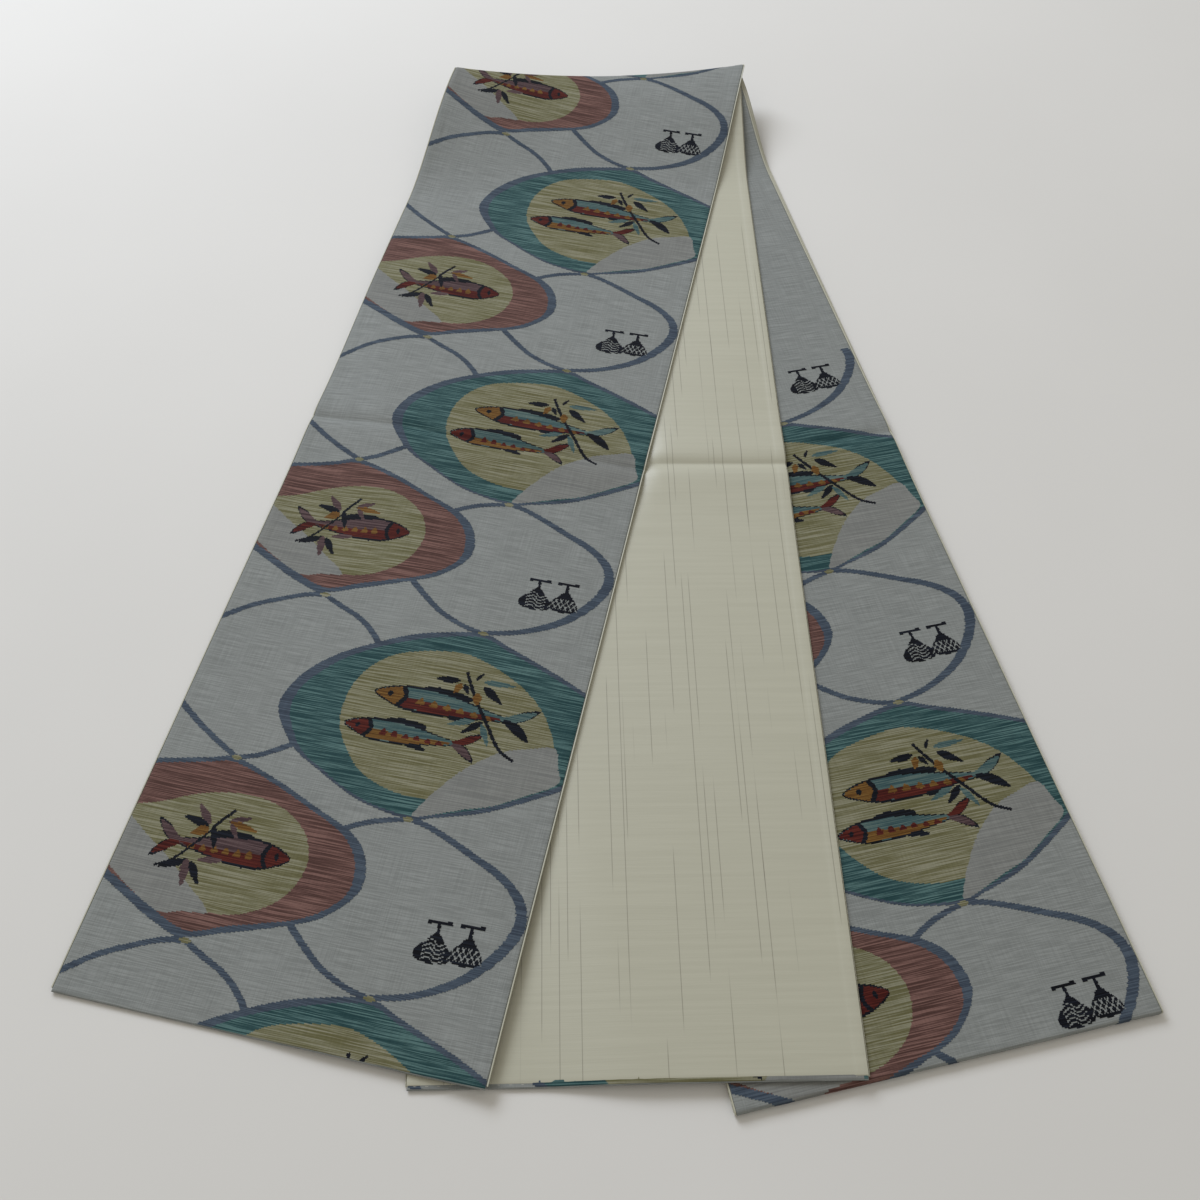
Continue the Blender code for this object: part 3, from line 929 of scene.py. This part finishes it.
def makeLiningSilk():
    # Plain cream silk with a raw-silk warp: even and softly shining, with a few thin brown
    # warp threads that come and go.
    material, shader = newMaterial("cream_silk_lining")
    cloth = addNode(material, "Attribute", {"attribute_name": "cloth"}).outputs["Vector"]
    split = addNode(material, "SeparateXYZ", {}, (0, cloth))
    # mottling about 110 mm across and 3 mm along the strip
    shade = addNode(material, "VectorMath", {"operation": "MULTIPLY", 1: (9.0, 300.0, 0.0)}, (0, cloth))
    mottle = addNode(material, "TexNoise", {"noise_dimensions": "2D", "Scale": 1.0, "Detail": 3.0},
                     ("Vector", shade.outputs[0]))
    colour = setRamp(addNode(material, "ValToRGB", {}, ("Fac", mottle.outputs["Fac"])),
                     (0.30, liningLook["deep"]), (0.70, liningLook["pale"]))
    for spacing, shift, hidden in liningLook["rawSets"]:
        place = addNode(material, "Math", {"operation": "MULTIPLY_ADD", 1: spacing, 2: shift},
                        (0, split.outputs["X"]))
        cells = addNode(material, "TexVoronoi", {"voronoi_dimensions": "1D", "feature": "F1",
                        "Scale": 1.0, "Randomness": 1.0}, ("W", place.outputs[0]))
        thin = addNode(material, "MapRange", {"From Min": 0.00012 * spacing,
                       "From Max": liningLook["rawWide"] * spacing, "To Min": 1.0, "To Max": 0.0},
                       ("Value", cells.outputs["Distance"]))
        # they come and go over about 190 mm
        length = addNode(material, "Math", {"operation": "MULTIPLY", 1: 3.1}, (0, split.outputs["Y"]))
        stretch = addNode(material, "CombineXYZ", {}, ("X", cells.outputs["W"]),
                          ("Y", length.outputs[0]))
        breaks = addNode(material, "TexNoise", {"noise_dimensions": "2D", "Scale": 1.7, "Detail": 1.0},
                         ("Vector", stretch.outputs[0]))
        seen = addNode(material, "MapRange", {"From Min": hidden - 0.02, "From Max": hidden + 0.04,
                       "To Min": 0.0, "To Max": liningLook["rawStrength"]},
                       ("Value", breaks.outputs["Fac"]))
        amount = addNode(material, "Math", {"operation": "MULTIPLY"}, (0, thin.outputs["Result"]),
                         (1, seen.outputs["Result"]))
        brown = linearColour(liningLook["rawThread"])
        mixed = addNode(material, "Mix", {"data_type": "RGBA", 7: brown},
                        ("Factor", amount.outputs[0]), (6, colour))
        colour = mixed.outputs[2]
    # wefts 0.9 mm apart, drawn coarser than the real 0.3 mm, and even for about 33 mm
    picks = addNode(material, "VectorMath", {"operation": "MULTIPLY", 1: (30.0, 1100.0, 0.0)},
                    (0, cloth))
    weft = addNode(material, "TexNoise", {"noise_dimensions": "2D", "Scale": 1.0, "Detail": 2.0},
                   ("Vector", picks.outputs[0]))
    bump = addNode(material, "Bump", {"Strength": 0.16, "Distance": 0.0003},
                   ("Height", weft.outputs["Fac"]))
    rough = addNode(material, "MapRange", {"To Min": 0.40, "To Max": 0.50},
                    ("Value", weft.outputs["Fac"]))
    setUp(material, shader, {"IOR": 1.54, "Specular IOR Level": 0.8, "Sheen Weight": 0.10,
          "Sheen Roughness": 0.35}, ("Base Color", colour), ("Normal", bump.outputs["Normal"]),
          ("Roughness", rough.outputs["Result"]))
    return material


def makeCoreCotton():
    # Brushed cotton wadding cloth: matt, undyed, with a short nap.
    material, shader = newMaterial("cotton_core")
    place = addNode(material, "TexCoord", {}).outputs["Object"]
    # tufts of about 1.1 mm
    nap = addNode(material, "TexNoise", {"Scale": 900.0, "Detail": 4.0}, ("Vector", place))
    shade = setRamp(addNode(material, "ValToRGB", {}, ("Fac", nap.outputs["Fac"])),
                    (0.0, "C9C4B5"), (1.0, "DEDACC"))
    bump = addNode(material, "Bump", {"Strength": 0.4, "Distance": 0.0004},
                   ("Height", nap.outputs["Fac"]))
    setUp(material, shader, {"Roughness": 0.9, "Sheen Weight": 0.3}, ("Base Color", shade),
          ("Normal", bump.outputs["Normal"]))
    return material


def makeSilkThread():
    # Two-ply silk sewing thread: a soft shine, and pale and dark bands along its twist that are painted
    # highlight and shade on the plies.
    material, shader = newMaterial("silk_sewing_thread")
    place = addNode(material, "TexCoord", {}).outputs["Object"]
    # a turn of the twist every 1.5 mm
    twist = addNode(material, "TexWave", {"bands_direction": "DIAGONAL", "Scale": 420.0,
                    "Distortion": 1.5}, ("Vector", place))
    # the pale and dark bands are painted highlight on the rounded plies and painted shade between them
    shade = setRamp(addNode(material, "ValToRGB", {}, ("Fac", twist.outputs["Fac"])),
                    (0.0, "A8A595"), (1.0, "CFCBB9"))
    setUp(material, shader, {"Roughness": 0.45, "Sheen Weight": 0.2}, ("Base Color", shade))
    return material


clothMaterials = {"face_cloth": faceSilk, "core": makeCoreCotton(), "lining": makeLiningSilk()}
threadSilk = makeSilkThread()
print("materials made")


# The woven pattern: each run of yarn is a strip of small faces that lies on the ground cloth.
def splitLines(count):
    # where a run of yarn is split across the strip, so that it follows the cloth
    edge = list(pattern["edgeSplits"])
    inner = [edge[-1] + (strip["width"] - 2.0 * edge[-1]) * step / count for step in range(1, count)]
    return sorted(edge + inner + [strip["width"] - place for place in edge])


def weavePattern(name, spanNames, visible, half=None):
    spots = []
    reaches = []
    faces = []
    yarns = []
    sliver = pattern["sliver"]
    for spanName in spanNames:
        span = spans[spanName]
        cuts = splitLines(pattern["foldSplits" if spanName in folds else "leafSplits"])
        ends = [span["range"](side) for side in (-halfWidth, halfWidth)]
        low = min(end[0] for end in ends)
        high = max(end[1] for end in ends)
        known = {}

        def corner(across, row):
            key = (round(across * 1e6), row)
            if key not in known:
                side = across - halfWidth
                start, end = span["range"](side)
                reach = min(max(row * pattern["row"], start), end)
                spot, normal = span["place"](side, reach)
                run = pattern["middleEnd"] - reach if spanName == "middle" else reach
                share = edgeShare(spanName, side, run, halfWidth)
                offset = leafThick / 2.0 + pattern["lift"]
                known[key] = len(spots)
                spots.append(onLayer(spot, normal, offset, share, side, halfWidth))
                reaches.append((across, reach))
            return known[key]

        for row in range(math.floor(low / pattern["row"]), math.ceil(high / pattern["row"])):
            if not visible(spanName, row * pattern["row"]):
                continue
            for start, end, yarn in patternRuns[row % len(patternRuns)]:
                start = max(start, pattern["rim"])
                end = min(end, strip["width"] - pattern["rim"])
                if half == "west":
                    end = min(end, halfWidth)
                if half == "east":
                    start = max(start, halfWidth)
                if end - start < sliver:
                    continue
                stops = [start] + [cut for cut in cuts if start + sliver < cut < end - sliver] + [end]
                lower = [corner(stop, row) for stop in stops]
                upper = [corner(stop, row + 1) for stop in stops]
                for place in range(len(stops) - 1):
                    depth = max(abs(reaches[upper[place + step]][1] - reaches[lower[place + step]][1])
                                for step in (0, 1))
                    if depth > 0.1 * sliver:
                        faces.append([lower[place], lower[place + 1], upper[place + 1], upper[place]])
                        yarns.append(yarnNames.index(yarn))
    # points that no face uses are dropped
    used = sorted({place for face in faces for place in face})
    renumber = {old: new for new, old in enumerate(used)}
    faces = [tuple(renumber[place] for place in face) for face in faces]
    piece = makePiece(name, [spots[place] for place in used], faces, yarnSilks,
                      [reaches[place] for place in used], yarns)
    piece.data.polygons.foreach_set("use_smooth", [True] * len(piece.data.polygons))
    return piece


def alwaysPatterned(spanName, reach):
    return True


def untilPlain(spanName, reach):
    return reach < pattern["topPlain"]


def nearOwnEnd(spanName, reach):
    return reach > pattern["middleEnd"] - pattern["middlePatterned"]


# Seams: small slip stitches along the rounded edges
seam = {
    "pitch": 0.0080,
    "stitch": 0.0026,
    "thread": 0.00017,       # radius
    "inset": 0.0001,
    "endDepth": -0.75,       # the end stitches lie here, where -1 is the lining's own surface
    "sides": 6,
    "firstGap": 0.004,       # from a corner to the first stitch
    "lastGap": 0.002,
}


def addStitch(spots, faces, start, end, outward):
    # a short bead of thread, fattest in its middle
    direction = (end - start).normalized()
    up = direction.cross(outward).normalized()
    first = len(spots)
    shares = ((0.0, 0.35), (0.2, 0.9), (0.8, 0.9), (1.0, 0.35))
    around = seam["sides"]
    for share, fat in shares:
        thick = seam["thread"] * fat
        centre = start.lerp(end, share) + outward * thick * 0.6
        for step in range(around):
            turn = math.tau * step / around
            spots.append(centre + (outward * math.cos(turn) + up * math.sin(turn)) * thick)
    for ring in range(len(shares) - 1):
        for step in range(around):
            a = first + ring * around + step
            b = first + ring * around + (step + 1) % around
            faces.append((a, b, b + around, a + around))
    last = first + (len(shares) - 1) * around
    faces.append(tuple(first + step for step in reversed(range(around))))
    faces.append(tuple(last + step for step in range(around)))


def sewSide(name, key, side, body):
    leaf = fan[key]
    spots = []
    faces = []
    edge = math.copysign(halfWidth + strip["liningPeep"] - seam["inset"], side)
    outward = (acrossDir(leaf["heading"]) * math.copysign(1.0, side)).to_3d()
    run = seam["firstGap"] + max(0.0, frontRun(leaf, side))
    while run + seam["stitch"] < foldRun(leaf, side) - seam["lastGap"]:
        start = leafSpot(key, edge, run)[0]
        end = leafSpot(key, edge, run + seam["stitch"])[0]
        addStitch(spots, faces, start, end, outward)
        run += seam["pitch"]
    return finishSeam(name, spots, faces, body)


def sewEnd(name, key, body):
    leaf = fan[key]
    spots = []
    faces = []
    outward = -alongDir(leaf["heading"]).to_3d()
    side = -halfWidth + seam["firstGap"]
    while side + seam["stitch"] < halfWidth - seam["lastGap"]:
        start, normal = leafSpot(key, side, strip["liningBack"])
        end = leafSpot(key, side + seam["stitch"], strip["liningBack"])[0]
        drop = normal * (seam["endDepth"] * leafThick / 2.0)
        addStitch(spots, faces, start + drop, end + drop, outward)
        side += seam["pitch"]
    return finishSeam(name, spots, faces, body)


def finishSeam(name, spots, faces, body):
    piece = makePiece(name + "_stitches", spots, faces, [threadSilk])
    piece.data.polygons.foreach_set("use_smooth", [True] * len(piece.data.polygons))
    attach(piece, body)
    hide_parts(name)
    return piece


# The two folds next to the turning leaves, each built in a west and an east half, as the folded end hangs
# down towards its middle.
foldStrips = {}


def buildTurningFold(name, patterned):
    fold = folds[name]
    lower = fan[fold["lower"]]
    line = alongDir(lower["foldLine"])
    for half, sign in (("west", -1.0), ("east", 1.0)):
        west, east = (-halfWidth, 0.0) if half == "west" else (0.0, halfWidth)
        # the middle of this half's slope
        inner, outer = (foldSpot(name, side, 0.5)[0] for side in (0.0, sign * halfWidth))
        slope = (outer - inner).normalized()
        flatOut = Vector((line.y, -line.x, 0.0))
        upward = slope.cross(flatOut)
        upward = upward.normalized() * (1.0 if upward.z > 0.0 else -1.0)
        bottom, top = (foldSpot(name, sign * halfWidth / 2.0, share)[0] for share in (0.0, 1.0))
        for layer in layers:
            peep = strip["liningPeep"] if layer == "lining" else 0.0
            lines = coreLines() if layer == "core" else crossLines(halfWidth + peep)
            sides = sorted({side for side in lines if west - peep <= side <= east + peep} | {0.0})
            cloth = makeCloth(f"{name}_fold_{half}_{layer}_sheet", foldRows(name, name == "outer"),
                              layer, clothMaterials[layer], sides)
            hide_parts(f"{name}_fold_{layer}")
            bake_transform(cloth)
            foldStrips[name, layer] = foldStrips.get((name, layer), []) + [cloth]
        if patterned:
            weave = weavePattern(f"{name}_fold_{half}_woven_pattern", (name,), alwaysPatterned, half)
            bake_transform(weave)
            foldStrips[name, "face_cloth"].append(weave)
    print(name, "fold built")


buildTurningFold("outer", True)
buildTurningFold("inner", False)


# The three lengths of the strip.  The left and middle leaves turn; the base leaf, front fold
# and top leaf are one piece of cloth that lies still.
lengths = {
    "left_leaf": {"body": "left_leaf", "fold": "outer", "nodes": ("left_leaf",),
                  "spans": ("left",), "visible": alwaysPatterned, "length": 1.078,
                  "restsOn": ["middle_leaf_lining_sheet"]},
    "right_leg": {"body": "base", "fold": None, "nodes": ("base_leaf", "front_fold", "top_leaf"),
                  "spans": ("base", "front", "top"), "visible": untilPlain, "length": 2.159,
                  "restsOn": []},
    "middle_leaf": {"body": "middle_leaf", "fold": "inner", "nodes": ("middle_leaf",),
                    "spans": ("middle",), "visible": nearOwnEnd, "length": 1.056,
                    "restsOn": ["right_leg_face_cloth_sheet"]},
}


def rowsFor(key, layer):
    if key == "right_leg":
        return (leafRows("base", False, layer) + foldRows("front", False)[1:-1]
                + leafRows("top", False, layer))
    return leafRows(key.split("_")[0], True, layer)


def buildLengths():
    for key, facts in lengths.items():
        for layer in layers:
            cloth = makeCloth(f"{key}_{layer}_sheet", rowsFor(key, layer), layer, clothMaterials[layer])
            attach(cloth, facts["body"])
            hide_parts(*[f"{node}_{layer}" for node in facts["nodes"]])
        weave = weavePattern(f"{key}_woven_pattern", facts["spans"], facts["visible"])
        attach(weave, facts["body"])
        print(key, "built,", len(weave.data.polygons), "faces of pattern")
    bodies = {"left": "left_leaf", "middle": "middle_leaf", "top": "base", "base": "base"}
    for key, body in bodies.items():
        for word, side in (("west", -halfWidth), ("east", halfWidth)):
            sewSide(f"{key}_leaf_{word}_seam", key, side, body)
    for key in ("left", "middle"):
        sewEnd(f"{key}_leaf_end_seam", key, f"{key}_leaf")
    print("seams sewn")


buildLengths()


# Floor, lights and camera
stage = {
    "floorSize": 9.0,
    "floorDrop": 0.0002,     # the floor is this far below the cloth
    "worldColour": "FFFBF3",
    "worldStrength": 0.55,
    "keyPlace": (-1.9, 2.5, 2.25),
    "keyAim": (0.0, 0.1, 0.0),
    "keySize": (2.4, 1.6),
    "keyColour": "EBF2FF",
    "keyPower": 150.0,
    "cameraPlace": (-0.020397, -0.757499, 0.900),
    "cameraTilt": 34.07,
    "cameraRoll": 2.7946,
    "lens": 38.65,
}


def makeFloor():
    # Painted board: matt, nearly even, with very faint brush mottling.
    material, shader = newMaterial("matt_painted_board")
    place = addNode(material, "TexCoord", {}).outputs["Object"]
    # patches of about 330 mm
    mottle = addNode(material, "TexNoise", {"Scale": 3.0, "Detail": 5.0}, ("Vector", place))
    tone = setRamp(addNode(material, "ValToRGB", {}, ("Fac", mottle.outputs["Fac"])),
                   (0.0, "C9C7C2"), (1.0, "D0CEC9"))
    setUp(material, shader, {"Roughness": 0.75, "Specular IOR Level": 0.2}, ("Base Color", tone))
    half = stage["floorSize"] / 2.0
    corners = [(-half, -half, 0.0), (half, -half, 0.0), (half, half, 0.0), (-half, half, 0.0)]
    floor = makePiece("floor", corners, [(0, 1, 2, 3)], [material])
    floor.location.z = -stage["floorDrop"]


def lightUp():
    world = bpy.data.worlds.new("soft_room")
    world.use_nodes = True
    sky = world.node_tree.nodes["Background"]
    sky.inputs["Color"].default_value = linearColour(stage["worldColour"])
    sky.inputs["Strength"].default_value = stage["worldStrength"]
    bpy.context.scene.world = world
    lamp = bpy.data.lights.new("softbox", "AREA")
    lamp.shape = "RECTANGLE"
    lamp.size, lamp.size_y = stage["keySize"]
    lamp.energy = stage["keyPower"]
    lamp.color = linearColour(stage["keyColour"])[:3]
    softbox = bpy.data.objects.new("softbox", lamp)
    bpy.context.scene.collection.objects.link(softbox)
    softbox.location = stage["keyPlace"]
    aim = Vector(stage["keyAim"]) - Vector(stage["keyPlace"])
    softbox.rotation_euler = aim.to_track_quat("-Z", "Y").to_euler()


def makeCamera():
    lens = bpy.data.cameras.new("camera")
    lens.lens = stage["lens"]
    lens.sensor_width = 36.0
    camera = bpy.data.objects.new("camera", lens)
    bpy.context.scene.collection.objects.link(camera)
    camera.matrix_world = (Matrix.Translation(stage["cameraPlace"])
                           @ Matrix.Rotation(math.radians(stage["cameraTilt"]), 4, "X")
                           @ Matrix.Rotation(math.radians(stage["cameraRoll"]), 4, "Z"))
    bpy.context.scene.camera = camera


makeFloor()
lightUp()
makeCamera()
bpy.context.scene.view_settings.view_transform = "Standard"  # so that the hex colours show as they are
print("floor, light and camera made")

bpy.context.view_layer.update()
